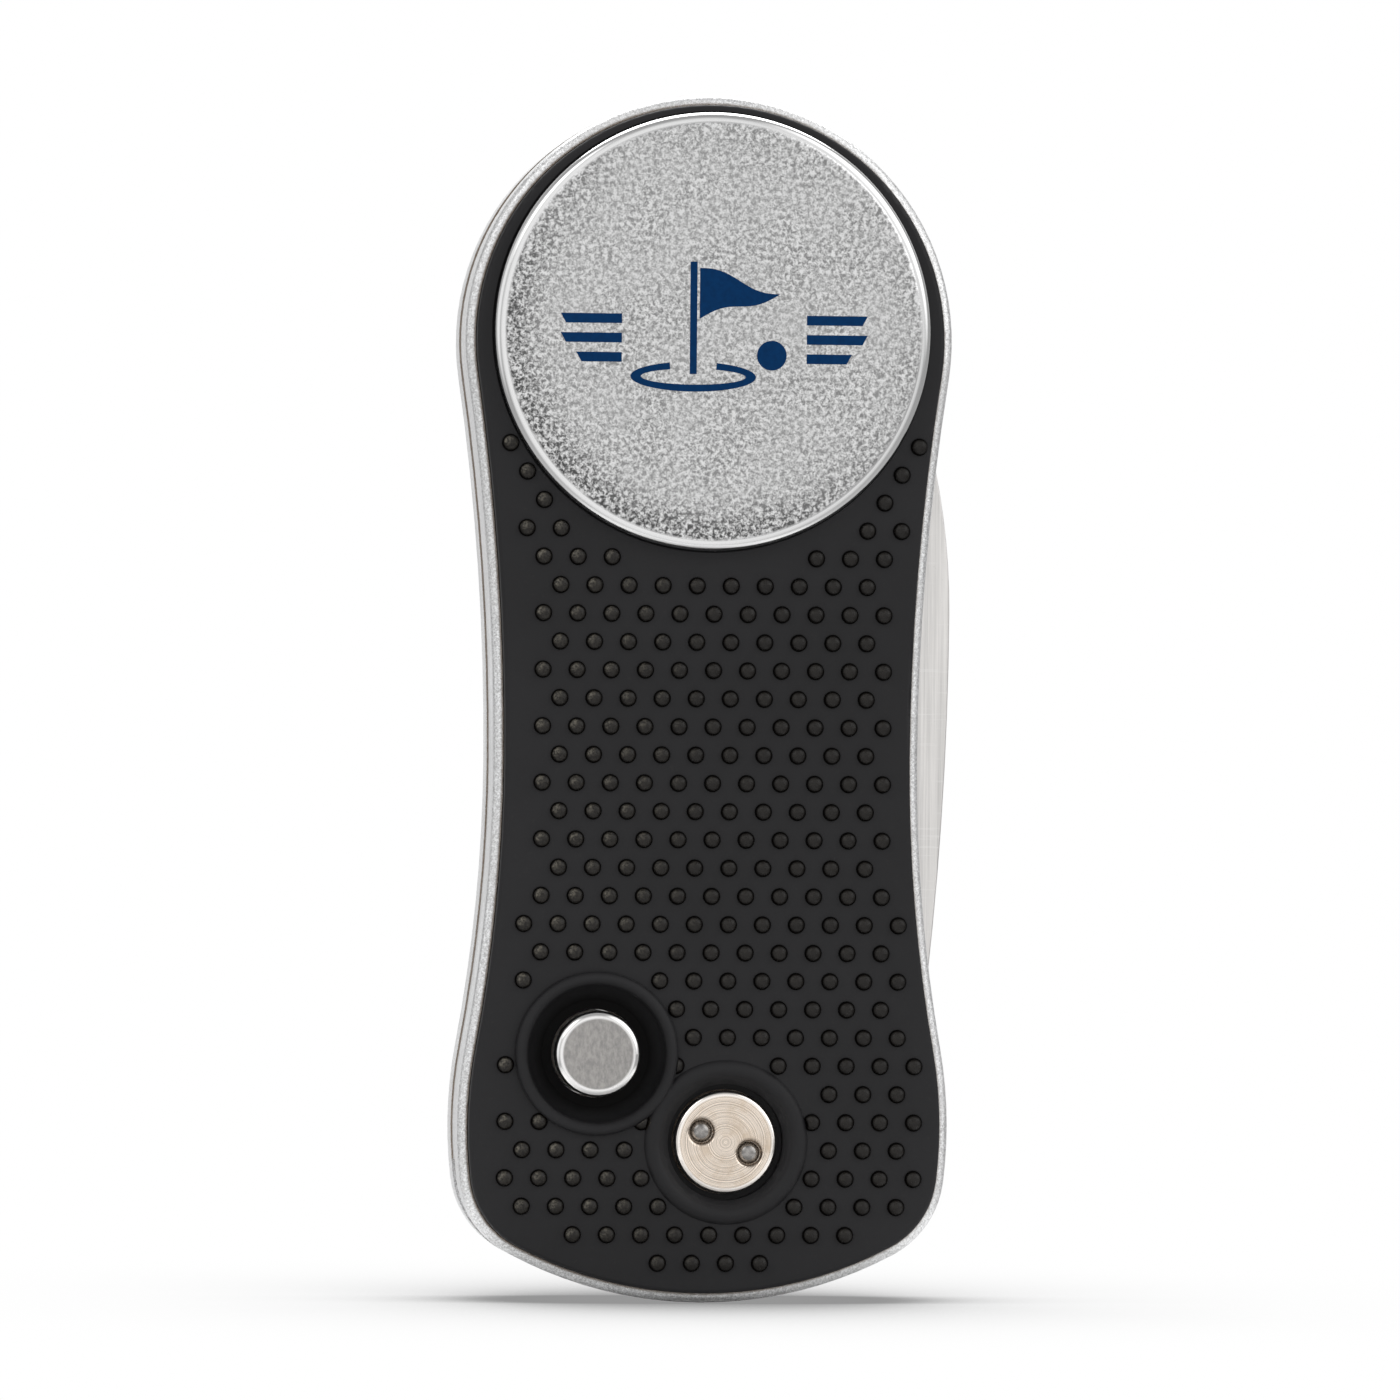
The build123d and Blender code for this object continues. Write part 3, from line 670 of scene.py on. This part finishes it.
# The pivot screw: spanner holes with rounded rims, and a crown in the bottom of each.
hole_offset = 1.5 * MM
hole_turn = math.radians(-24)
holes = [Vector((pivot_centre.x + side * hole_offset * math.cos(hole_turn), 0,
                 pivot_centre.z + side * hole_offset * math.sin(hole_turn))) for side in (-1, 1)]
screw_edge = 0.06 * MM
screw_form = broken_edges("pivot_screw", screw_edge, holes, hole_reach=0.8 * MM, hole_width=0.2 * MM)
crown = [(0, 0.13), (0.18, 0.145), (0.36, 0.2), (0.5, 0.29), (0.6, 0.42), (0.66, 0.58), (0.66, 0.65),
         (0, 0.65)]
for hole in holes:
    outside = set(screw_form.faces)
    turned_form(screw_form, hole, [(r * MM, pivot_low.y + y * MM) for r, y in crown], 40)
    for f in set(screw_form.faces) - outside:
        f.material_index = 1
piece("pivot_screw_head", screw_form, [pivot_steel, hole_steel], "handle",
      ["pivot_screw"])
piece("pivot_barrel_head", broken_edges("pivot_barrel", screw_edge), [pivot_steel], "handle",
      ["pivot_barrel"])


# ---------------------------------------------------------------- camera
def direction(turn, lift):
    """Unit vector to a place in the studio: turn from the front to the right, lift above the floor."""
    a, e = math.radians(turn), math.radians(lift)
    return Vector((math.sin(a) * math.cos(e), -math.cos(a) * math.cos(e), math.sin(e)))


target = Vector((axis_x - 0.65 * MM, marker_low.y, 34.45 * MM))
back = direction(-6.5, 0)
view_roll = math.radians(0.5)
view_distance = 0.62
view_height = 79.7 * MM
camera_data = bpy.data.cameras.new("camera")
camera_data.sensor_width = 36
camera_data.lens = camera_data.sensor_width * view_distance / view_height
camera_data.clip_start = 0.01
camera = bpy.data.objects.new("camera", camera_data)
camera.location = target + back * view_distance
camera.rotation_euler = back.to_track_quat("Z", "Y").to_matrix().to_euler()
camera.rotation_euler.rotate_axis("Z", view_roll)
bpy.context.scene.collection.objects.link(camera)
bpy.context.scene.camera = camera

# ---------------------------------------------------------------- floor and light
floor_half = 0.075
floor_fade = (0.05, 0.052)
floor_centre = (0, -14 * MM, 0)
shadow_reach = 0.045


def floor_paint():
    """Pale pad that fades out. The camera sees through it, and the open fork below it, darkened by
    how much of the room the handle hides; every other ray meets a plain pale surface."""
    made, s, p = material("floor_paint")
    connect(s, p, Base_Color=(0.86, 0.86, 0.86, 1), Roughness=0.9, Specular_IOR_Level=0.0)
    spread = s.length(s.scaled(s.place(floor_centre), 1 / floor_fade[0], 1 / floor_fade[1], 1))
    clear = s.node("ShaderNodeBsdfTransparent").outputs[0]
    plain = s.shader_mix(s.span(spread, 0.4, 1.0, 0, 1, True), p.outputs[0], clear)
    contact = s.node("ShaderNodeAmbientOcclusion", {"Distance": shadow_reach}, samples=24).outputs["AO"]
    shadow = s.span(contact, 0.4, 0.99, 0.3, 1.0, True)
    see_through = s.node("ShaderNodeBsdfTransparent", {"Color": shadow}).outputs[0]
    output = next(n for n in s.tree.nodes if n.bl_idname == "ShaderNodeOutputMaterial")
    s.tree.links.new(s.shader_mix(s.camera_ray(), plain, see_through), output.inputs[0])
    return made


floor_form = bmesh.new()
bmesh.ops.create_grid(floor_form, x_segments=8, y_segments=8, size=floor_half)
floor_mesh = bpy.data.meshes.new("floor")
floor_form.to_mesh(floor_mesh)
floor_form.free()
floor_mesh.materials.append(floor_paint())
floor = bpy.data.objects.new("floor", floor_mesh)
bpy.context.scene.collection.objects.link(floor)

sun_data = bpy.data.lights.new("top_light", "SUN")
sun_data.energy = 2.55
sun_data.angle = math.radians(56)
sun = bpy.data.objects.new("top_light", sun_data)
sun.rotation_euler = direction(174, 57).to_track_quat("Z", "Y").to_euler()
bpy.context.scene.collection.objects.link(sun)

world = bpy.data.worlds.new("studio")
bpy.context.scene.world = world
world.use_nodes = True
sky = Shader(world.node_tree)
way = sky.node("ShaderNodeTexCoord").outputs["Generated"]


def lobe(turn, lift, inner, outer, amount):
    """Soft brighter or darker patch of the studio round a direction."""
    near = sky.dot(way, direction(turn, lift))
    return sky.span(near, math.cos(math.radians(outer)), math.cos(math.radians(inner)), 0, amount, True)


# Each patch: turn, lift, full inside this angle, gone outside this one, amount.
patches = ((-4, 2, 8, 55, 0.6), (0, -90, 20, 80, 0.25), (58, 30, 10, 36, 1.5), (-48, 38, 6, 22, 1.6),
           (-80, 12, 10, 34, 0.6), (178, 5, 15, 60, 0.6))
level = 0.39
for patch in patches:
    level = sky.maths("ADD", level, lobe(*patch))
lit = sky.node("ShaderNodeBackground", {"Color": (1, 1, 1, 1), "Strength": level}).outputs[0]
seen = sky.node("ShaderNodeBackground", {"Color": (1, 1, 1, 1), "Strength": 1.0}).outputs[0]
sky.node("ShaderNodeOutputWorld", {"Surface": sky.shader_mix(sky.camera_ray(), lit, seen)})
bpy.context.scene.view_settings.view_transform = "Standard"
